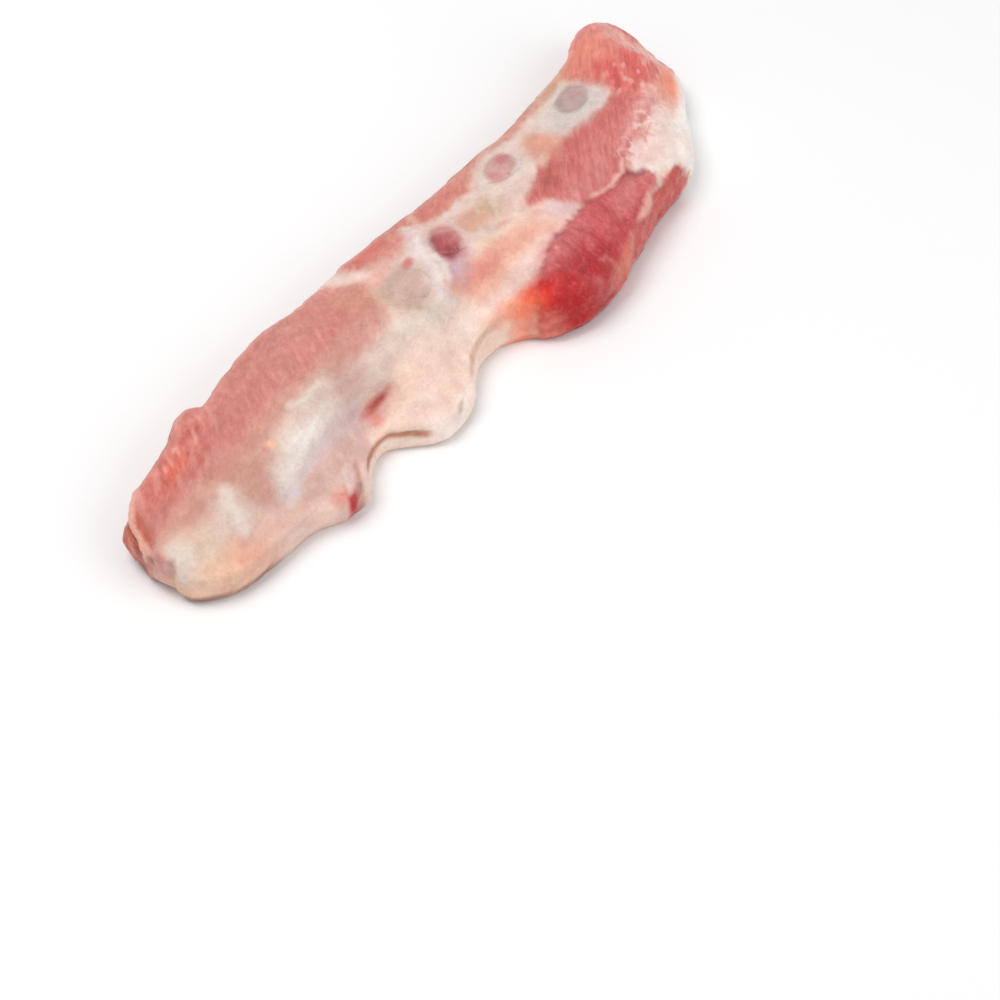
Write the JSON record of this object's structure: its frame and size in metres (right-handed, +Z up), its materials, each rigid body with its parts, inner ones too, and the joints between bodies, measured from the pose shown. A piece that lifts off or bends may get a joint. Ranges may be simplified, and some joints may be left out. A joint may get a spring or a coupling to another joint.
{
  "type": "raw rack of ribs",
  "caption": "Raw strip of pork rib tips lying bone side up: a flat, uneven slab of pink meat, pale fat and membrane, with the sawn ends of the ribs showing as ovals along one edge.",
  "frame": {"origin": "middle of the footprint, on the surface that the strip lies on", "axes": "+X along the strip towards its broad end with the first rib, +Y across it towards the sawn edge, +Z up, out of the bone side"},
  "size_m": [0.2592, 0.0734, 0.0272],
  "materials": {
    "meat": "moist raw meat, fat and membrane",
    "bone": "moist sawn cartilage and bone"
  },
  "bodies": {
    "root": {"meat_strip": "meat", "rib_1": "bone", "rib_2": "bone", "rib_3": "bone", "rib_4": "bone"}
  },
  "joints": []
}
